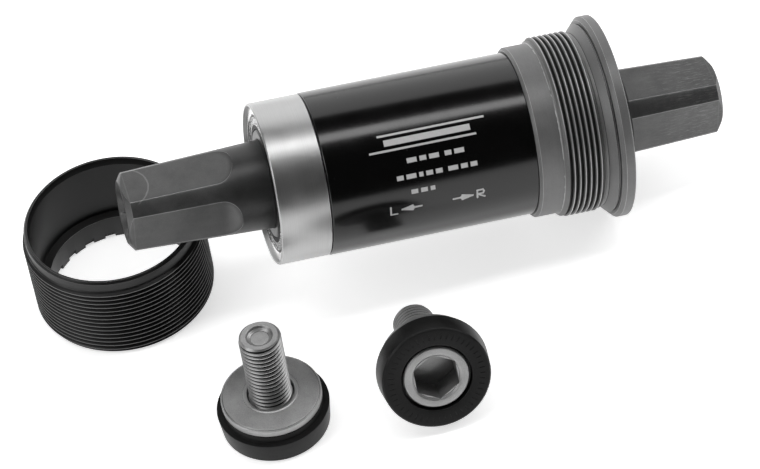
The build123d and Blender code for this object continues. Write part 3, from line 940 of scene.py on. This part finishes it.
# %% Rings, shields, balls and cages
PITCH_RADIUS, BALL_RADIUS, SHOULDER = 11.75, 3.969 / 2, 1.4
INNER_SHOULDER, OUTER_SHOULDER = PITCH_RADIUS - SHOULDER, PITCH_RADIUS + SHOULDER
GROOVE_RADIUS, RING_CHAMFER = BALL_RADIUS + 0.05, 0.25
GROOVE_STEPS, BALL_COUNT = 16, 11
CAGE_RAIL, CAGE_FRONT, CAGE_HALF = 0.57, 1.2, 1.1


def groove(middle, side):
    """The groove's points from left to right. A side of 1 is the outer ring's and -1 the inner ring's."""
    reach = math.acos(SHOULDER / GROOVE_RADIUS)
    turns = [-reach + 2 * reach * step / GROOVE_STEPS for step in range(GROOVE_STEPS + 1)]
    return [
        (middle + GROOVE_RADIUS * math.sin(turn), PITCH_RADIUS + side * GROOVE_RADIUS * math.cos(turn))
        for turn in turns
    ]


def bearing_ring(middle, inner):
    """An outline of one ring, clockwise from its bore's left corner."""
    left, right = middle - BEARING_WIDTH / 2, middle + BEARING_WIDTH / 2
    chamfer = RING_CHAMFER
    if inner:
        top = [(left, INNER_SHOULDER - chamfer), (left + chamfer, INNER_SHOULDER)] + groove(middle, -1)
        top += [(right - chamfer, INNER_SHOULDER), (right, INNER_SHOULDER - chamfer)]
        foot = [(right, BODY_RADIUS + chamfer), (right - chamfer, BODY_RADIUS), (left + chamfer, BODY_RADIUS)]
        return top + foot + [(left, BODY_RADIUS + chamfer)]
    top = [(left, HOUSING_RADIUS - chamfer), (left + chamfer, HOUSING_RADIUS), (right - chamfer, HOUSING_RADIUS)]
    foot = [(right, HOUSING_RADIUS - chamfer), (right, OUTER_SHOULDER + chamfer), (right - chamfer, OUTER_SHOULDER)]
    foot += groove(middle, 1)[::-1] + [(left + chamfer, OUTER_SHOULDER), (left, OUTER_SHOULDER + chamfer)]
    return top + foot


def shield(face, outward):
    """An outline of a stamped shield: flat at its rim, dished in the middle, with a thick lip."""
    outside, inside = face - outward * 0.1, face - outward * 0.7
    lip = INNER_SHOULDER + 0.05
    dish = outside - outward * 0.22
    outline = [
        (outside, OUTER_SHOULDER), (outside, 12.8), (dish, 12.5), (dish, 11.5), (outside, 11.3), (outside, lip),
        (inside, lip), (inside, OUTER_SHOULDER),
    ]
    return outline if outward > 0 else outline[::-1]


shield_material = shield_finish()
half = BEARING_WIDTH / 2
for side, middle, outward in (("left", LEFT_FACE + half, -1), ("right", RIGHT_FACE - half, 1)):
    label = side + "_bearing_"
    for which, body in (("inner", "spindle"), ("outer", "cartridge")):
        ring = spun(bearing_ring(middle, which == "inner"), rounding=0.06)
        # The inner races get a near-black steel, darker than the bright outer races.
        race_steel = dark_race_steel if which == "inner" else ball_steel
        settle(f"{side}_{which}_race", [ring], CARTRIDGE_HOME, race_steel, body, [f"{label}{which}_ring"])
    for which, facing in (("outer", outward), ("inner", -outward)):
        plate = spun(shield(middle + facing * half, facing), rounding=0.08)
        settle(f"{side}_{which}_shield", [plate], CARTRIDGE_HOME, shield_material, "cartridge",
               [f"{label}{which}_seal"])
    circle = {
        "Count": BALL_COUNT, "Along": middle, "Radius": PITCH_RADIUS, "First angle": 0.0,
        "Ball radius": BALL_RADIUS,
    }
    balls = through(BALLS, circle | {"Material": ball_steel})
    settle(f"{side}_ball_row", [balls], CARTRIDGE_HOME, ball_steel, f"{side}_ball_set", [label + "balls"])
    back, front = middle - outward * (BALL_RADIUS + CAGE_RAIL), middle + outward * CAGE_FRONT
    low, high = sorted((back, front))
    bottom, top = PITCH_RADIUS - CAGE_HALF, PITCH_RADIUS + CAGE_HALF
    rail = spun([(low, bottom), (low, top), (high, top), (high, bottom)], around=SMALL_AROUND)
    pockets = through(BALLS, circle | {"Ball radius": BALL_RADIUS + 0.1, "Material": cage_nylon})
    settle(f"{side}_ball_cage", [carved(rail, pockets)], CARTRIDGE_HOME, cage_nylon, f"{side}_ball_set",
           [label + "cage"])

# %% [markdown]
# ## The loose left cup
# The left cup has a right-hand thread from end to end, a plain band at its rim, and a smooth bore that
# slides over the cartridge. It stands on the lip that holds the tool notches, so they show as a ledge at
# the bottom of the bore. Its black coat is lightened to grey along the rim and on the crests, as wear with a
# painted highlight, and darkened in the thread roots as painted shade.

# %% Left cup
CUP_HEIGHT, CUP_BORE, CUP_RIM, BAND_START = 19.2, 15.7, 16.39, 16.95
CUP_LIP, CUP_NOTCH = 5.2, 1.2
cup_wall = spun([
    (BAND_START, NECK_RADIUS), (CUP_HEIGHT - 0.5, NECK_RADIUS), (CUP_HEIGHT, CUP_RIM), (CUP_HEIGHT, 16.0),
    (CUP_HEIGHT - 1.4, CUP_BORE), (CUP_LIP, CUP_BORE), (CUP_LIP, LIP_RADIUS),
    (0.0, LIP_RADIUS), (0.0, NECK_RADIUS - 0.05),
], closed=False)
cup_thread = thread(
    NECK_RADIUS, THREAD_DEPTH, 0.0, BAND_START, SHELL_PITCH, black_cup_coat, rises=(-0.05, 0.0),
)
lip_cuts = spline_cuts | {"Along": (CUP_NOTCH - notch_room) / 2, "Deep": CUP_NOTCH + notch_room,
                          "High": 1.2, "Material": black_cup_coat}
left_cup = through(NOTCHES, lip_cuts, joined([cup_wall, cup_thread]))
settle("left_cup_threaded", [left_cup], CUP_HOME, black_cup_coat, "left_cup", ["left_adapter_cup"])

# %% [markdown]
# ## Crank bolts and dust rings
# The two bolts are alike: a rolled M8 thread with a dimple in its tip, a wide flange that closes the crank's
# hole, and a head with a hexagon socket. The head turns in a plastic ring. One bolt stands on its head and the
# other lies on its side, so the same two functions are used with two homes.

# %% Bolt and ring
BOLT_THREAD_RADIUS, BOLT_THREAD_DEPTH = 4.0, 0.58
BOLT_ROOT = BOLT_THREAD_RADIUS - BOLT_THREAD_DEPTH
FACE, HEAD_RADIUS, HEAD_RIM = 0.25, 6.05, 6.25
SOCKET_HALF, SOCKET_FLOOR = 4.0, 6.15
BOLT_FLANGE, FLANGE_LOW, FLANGE_HIGH, BOSS_TOP = 9.45, 6.0, 7.65, 8.2
GROOVE_FLOOR, BOLT_TIP = 7.4, 23.7
CORNER_SPREAD, CORNER_CUT = 1.8, 0.06


def hexagon(start, end, half):
    """A hexagonal prism with rounded corners, from its axis out to the middle of each flat."""
    shape = bmesh.new()
    rings = []
    for along in (start, end):
        ring = []
        for corner in range(6):
            for offset in (-1, 0, 1):
                angle = math.radians(60 * corner + offset * CORNER_SPREAD)
                reach = half / math.cos(math.radians(30 - abs(offset) * CORNER_SPREAD))
                reach -= 0.0 if offset else CORNER_CUT
                ring.append(shape.verts.new((along, reach * math.cos(angle), reach * math.sin(angle))))
        rings.append(ring)
    for step in range(len(rings[0])):
        after = (step + 1) % len(rings[0])
        shape.faces.new((rings[0][step], rings[0][after], rings[1][after], rings[1][step]))
    for ring in rings:
        shape.faces.new(ring)
    bmesh.ops.recalc_face_normals(shape, faces=shape.faces)
    return kept_mesh(shape)


def crank_bolt():
    head = spun([
        (FACE + 0.35, 0.0), (FACE + 0.35, 4.35), (FACE, 4.75), (FACE, HEAD_RIM - 0.3), (FACE + 0.3, HEAD_RIM),
        (1.0, HEAD_RIM), (1.0, HEAD_RADIUS), (FLANGE_LOW, HEAD_RADIUS), (FLANGE_LOW, BOLT_FLANGE - 0.3),
        (FLANGE_LOW + 0.3, BOLT_FLANGE), (FLANGE_HIGH - 0.1, BOLT_FLANGE), (FLANGE_HIGH, BOLT_FLANGE - 0.12),
        (FLANGE_HIGH, BOLT_FLANGE - 0.3), (FLANGE_HIGH - 0.07, BOLT_FLANGE - 0.36),
        (FLANGE_HIGH + 0.02, BOLT_FLANGE - 0.46), (BOSS_TOP - 0.12, 5.3), (BOSS_TOP, 5.0),
        (BOSS_TOP, 4.45), (GROOVE_FLOOR, 4.3), (GROOVE_FLOOR, BOLT_ROOT),
    ], around=AROUND, closed=False)
    tip = spun([
        (BOLT_TIP, BOLT_ROOT), (BOLT_TIP, 2.55), (BOLT_TIP - 0.35, 2.3), (BOLT_TIP - 0.75, 1.75),
        (BOLT_TIP - 0.8, 0.9), (BOLT_TIP - 0.76, 0.0),
    ], around=AROUND, closed=False)
    screw = thread(
        BOLT_ROOT, BOLT_THREAD_DEPTH, GROOVE_FLOOR, BOLT_TIP, BOLT_PITCH, zinc_steel, rises=(0.5, 0.0),
    )
    return carved(joined([head, tip, screw]), hexagon(FACE - 1.0, SOCKET_FLOOR, SOCKET_HALF))


def dust_ring():
    ring = spun([
        (0.0, 6.7), (0.0, 9.9), (0.3, 10.2), (4.7, 10.6), (4.7, 9.5), (5.9, 9.2), (5.9, 6.1), (1.2, 6.1),
        (1.2, 6.7),
    ])
    ticks = {
        "Count": 48, "Along": -0.42, "Radius": 8.6, "First angle": 0.0, "Deep": 1.0, "High": 1.0, "Wide": 0.22,
        "Material": ring_plastic,
    }
    return through(NOTCHES, ticks, ring)


bolt_mesh, ring_mesh = crank_bolt(), dust_ring()
for which, home in (("upright", UPRIGHT_HOME), ("lying", LYING_HOME)):
    settle(f"{which}_crank_bolt", [bolt_mesh], home, zinc_steel, f"{which}_bolt", [f"crank_bolt_{which}"])
    settle(f"{which}_ring_moulded", [ring_mesh], home, ring_plastic, f"{which}_ring", [f"{which}_bolt_dust_ring"])

# %% [markdown]
# ## Floor and light
# The pieces lie on a plain pale floor under soft light. Black gloss shows whatever it mirrors, so the
# surroundings are dark but for a narrow strip overhead, which draws a band along the sleeve, and a low panel at
# the back, which lights its upper edge. Two side panels, which the cylinders do not mirror, light the rest.
# The floor glows a little, so it stays pale right up to the pieces.


# %% Floor
def pale_floor():
    material = bpy.data.materials.new("pale_floor")
    material.use_nodes = True
    board = Board(material.node_tree)
    shader = material.node_tree.nodes["Principled BSDF"]
    place = board.node("ShaderNodeTexCoord", None, output="Object")
    cloud = board.noise(place, 3.0)
    board.tree.links.new(board.mixed(cloud, grey(0.93), grey(0.96)).socket, shader.inputs["Base Color"])
    shader.inputs["Roughness"].default_value = 0.9
    shader.inputs["Specular IOR Level"].default_value = 0.1
    shader.inputs["Emission Color"].default_value = grey(1.0)
    shader.inputs["Emission Strength"].default_value = 0.62
    return material


floor_shape = bmesh.new()
bmesh.ops.create_grid(floor_shape, x_segments=2, y_segments=2, size=3.0)
floor_mesh = bpy.data.meshes.new("floor")
floor_shape.to_mesh(floor_mesh)
floor_shape.free()
floor_mesh.materials.append(pale_floor())
floor = bpy.data.objects.new("floor", floor_mesh)
bpy.context.scene.collection.objects.link(floor)


# %% Light
def panel(name, spot, aim, width, height, power):
    light = bpy.data.lights.new(name, "AREA")
    light.shape, light.size, light.size_y, light.energy = "RECTANGLE", width, height, power
    holder = bpy.data.objects.new(name, light)
    bpy.context.scene.collection.objects.link(holder)
    holder.location = spot
    holder.rotation_euler = (Vector(aim) - Vector(spot)).to_track_quat("-Z", "Y").to_euler()


panel("overhead_strip", (0.0, 0.02, 0.9), (0.0, 0.0, 0.0), 1.2, 0.18, 3.6)
panel("back_panel", (0.0, 1.1, 0.62), (0.0, 0.0, 0.1), 2.0, 1.2, 10.0)
panel("left_panel", (-1.1, -0.25, 0.75), (0.0, 0.0, 0.0), 0.7, 0.7, 5.0)
panel("right_panel", (1.1, 0.1, 0.85), (0.0, 0.0, 0.0), 0.7, 0.7, 5.0)

world = bpy.data.worlds.new("studio")
bpy.context.scene.world = world
world.use_nodes = True
world.node_tree.nodes["Background"].inputs["Color"].default_value = grey(1.0)
world.node_tree.nodes["Background"].inputs["Strength"].default_value = 0.035
bpy.context.scene.view_settings.view_transform = "Standard"

# %% [markdown]
# ## Camera
# The camera looks down at about 46 degrees from the front, with a long lens, and is rolled so that the
# cartridge climbs to the right.

# %% Camera
CAMERA_AIM = Vector((-1.77, 6.06, 10.0)) * MM
CAMERA_DISTANCE = 762.15 * MM
CAMERA_TURN, CAMERA_RISE, CAMERA_ROLL = math.radians(-8.097), math.radians(46.344), math.radians(-9.535)
camera_data = bpy.data.cameras.new("camera")
camera_data.sensor_width, camera_data.lens = 36.0, 189.47
camera = bpy.data.objects.new("camera", camera_data)
bpy.context.scene.collection.objects.link(camera)
level = math.cos(CAMERA_RISE)
backward = Vector((math.sin(CAMERA_TURN) * level, -math.cos(CAMERA_TURN) * level, math.sin(CAMERA_RISE)))
level_right = Vector(UP).cross(backward).normalized()
level_up = backward.cross(level_right)
right = level_right * math.cos(CAMERA_ROLL) + level_up * math.sin(CAMERA_ROLL)
upward = backward.cross(right)
camera.matrix_world = Matrix.Translation(CAMERA_AIM + backward * CAMERA_DISTANCE) @ Matrix(
    (right, upward, backward)
).transposed().to_4x4()
bpy.context.scene.camera = camera
